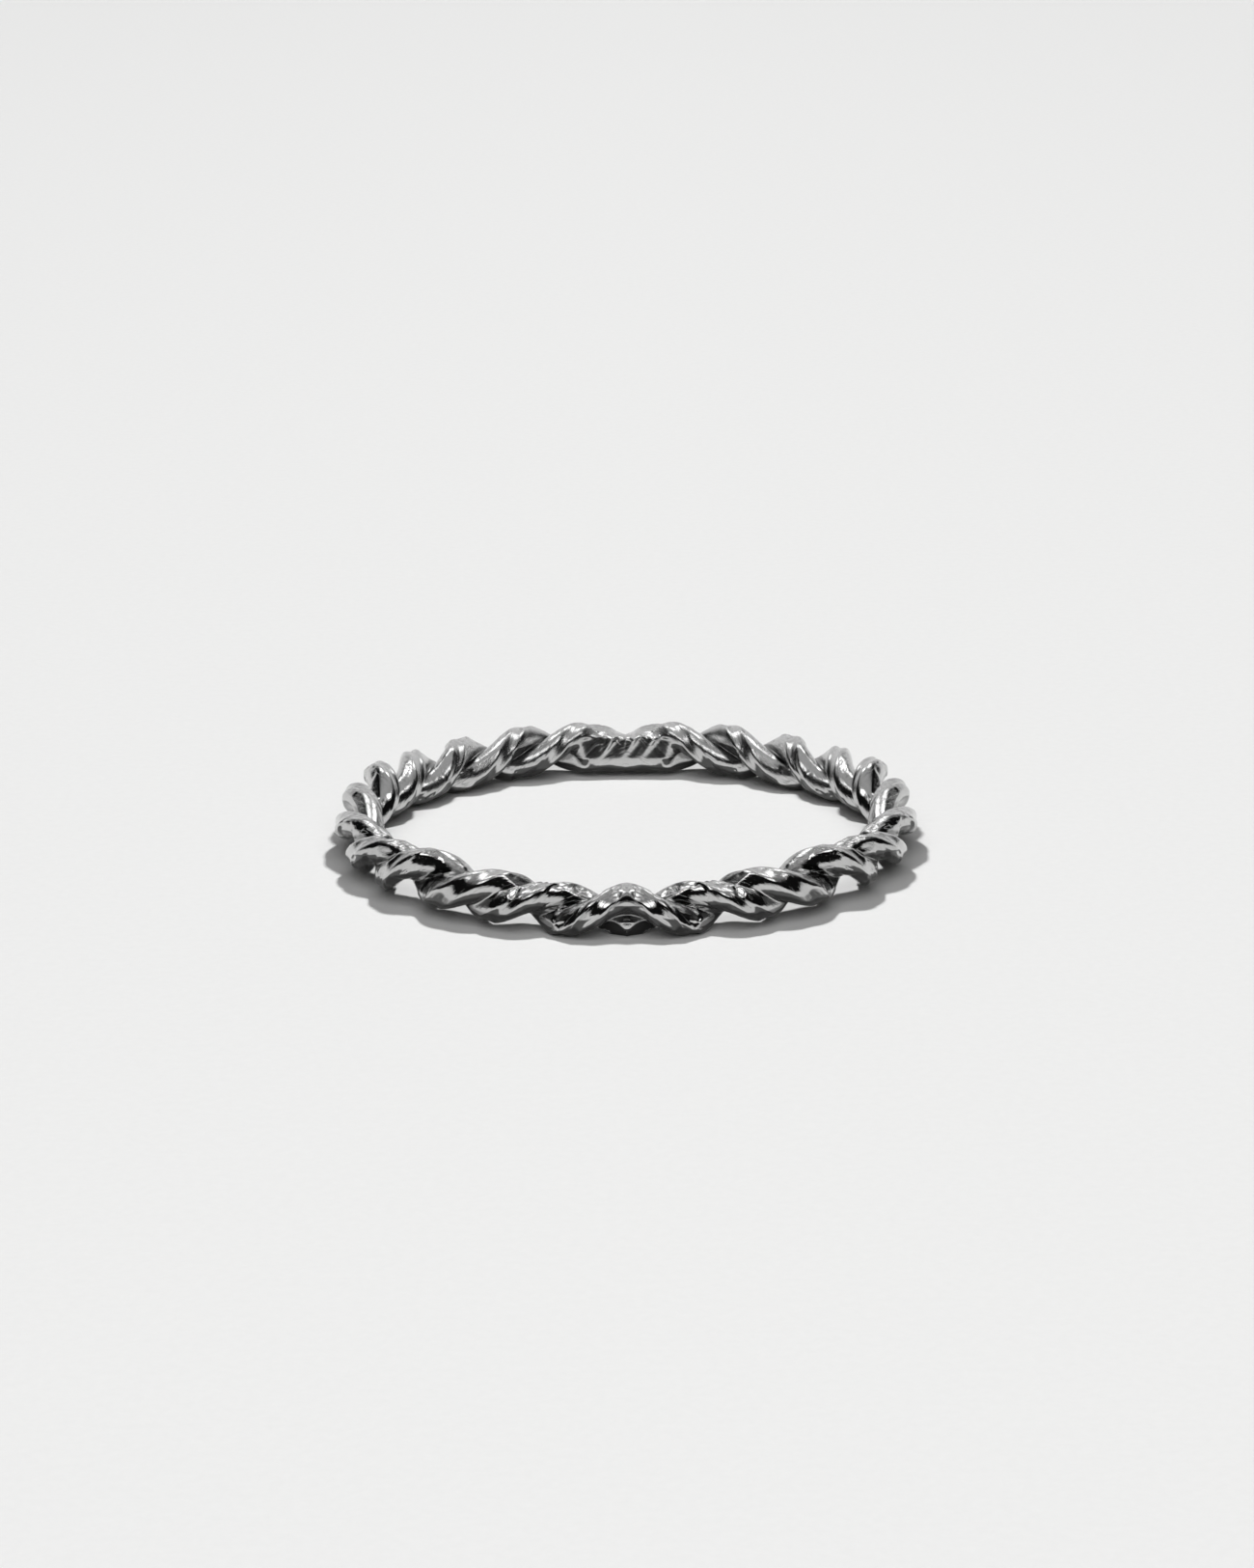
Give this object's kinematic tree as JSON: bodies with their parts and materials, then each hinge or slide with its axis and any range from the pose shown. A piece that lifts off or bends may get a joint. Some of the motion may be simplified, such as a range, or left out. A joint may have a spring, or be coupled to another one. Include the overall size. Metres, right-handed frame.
{
  "type": "rope twist ring",
  "caption": "Closed finger ring shaped as a rope of twisted round wires fused into one polished silver band.",
  "frame": {"origin": "middle of the underside of the ring's box, on the surface that the ring lies on", "axes": "+Z along the finger's axis, -Y towards the front, where the twist changes hand, and +X to the right of the front"},
  "size_m": [0.0206, 0.0206, 0.0023],
  "materials": {
    "silver": "polished silver with fine wear scratches"
  },
  "bodies": {
    "root": {"rope_band": "silver"}
  },
  "joints": []
}
